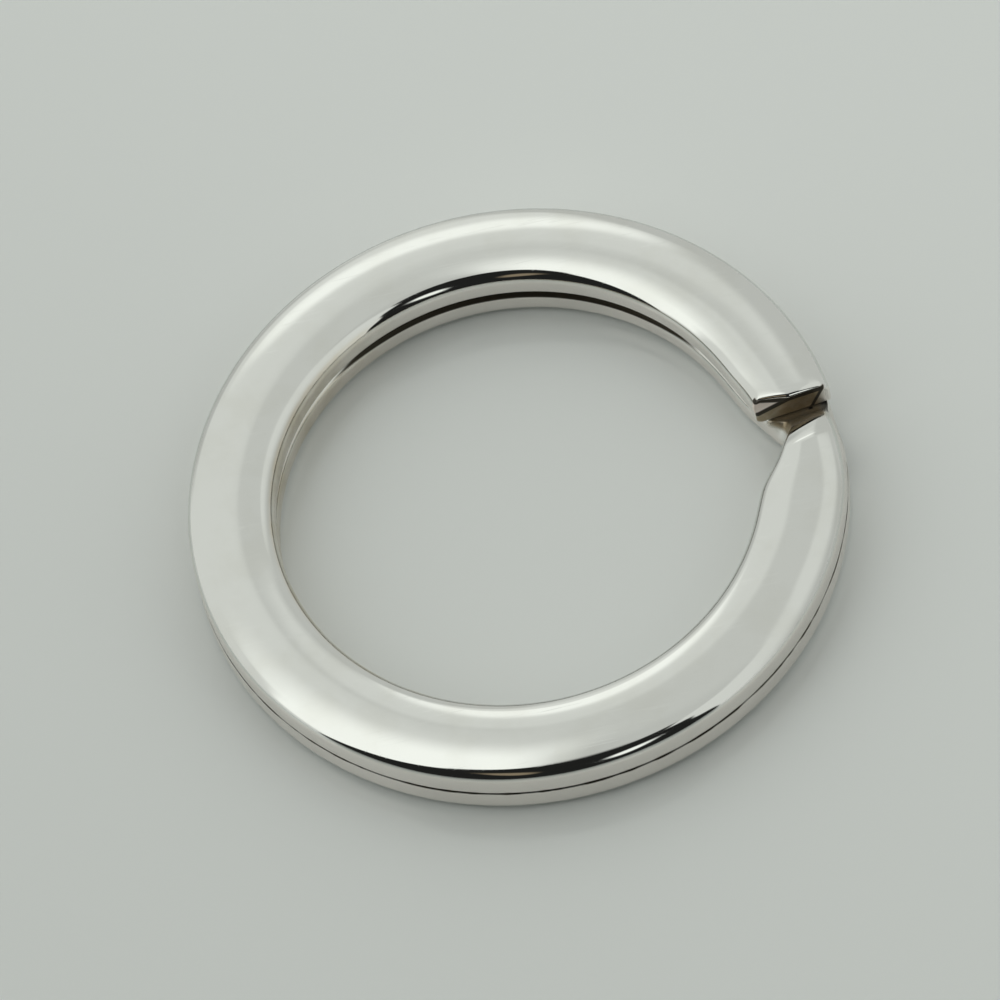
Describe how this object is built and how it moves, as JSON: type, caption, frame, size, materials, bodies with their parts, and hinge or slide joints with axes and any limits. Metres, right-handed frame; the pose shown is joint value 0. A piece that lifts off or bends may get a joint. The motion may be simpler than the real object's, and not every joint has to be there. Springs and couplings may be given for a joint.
{
  "type": "key ring",
  "caption": "Split key ring of flat, edge-wound wire whose turns lie against each other, with a stepped cross-over between the cut ends for threading keys on.",
  "frame": {"origin": "on the hole's axis, in the plane that the lower turn rests on", "axes": "+Z along the hole's axis and up when the ring lies flat; +X from the axis to the middle of the cross-over; the upper turn's cut end is just round from +X towards +Y"},
  "size_m": [0.0299, 0.03, 0.0032],
  "materials": {
    "polished_plating": "mirror polished bright silver plating with fine handling marks, a little duller on the cut ends and in the seam"
  },
  "bodies": {
    "root": {"split_ring": "polished_plating"}
  },
  "joints": []
}
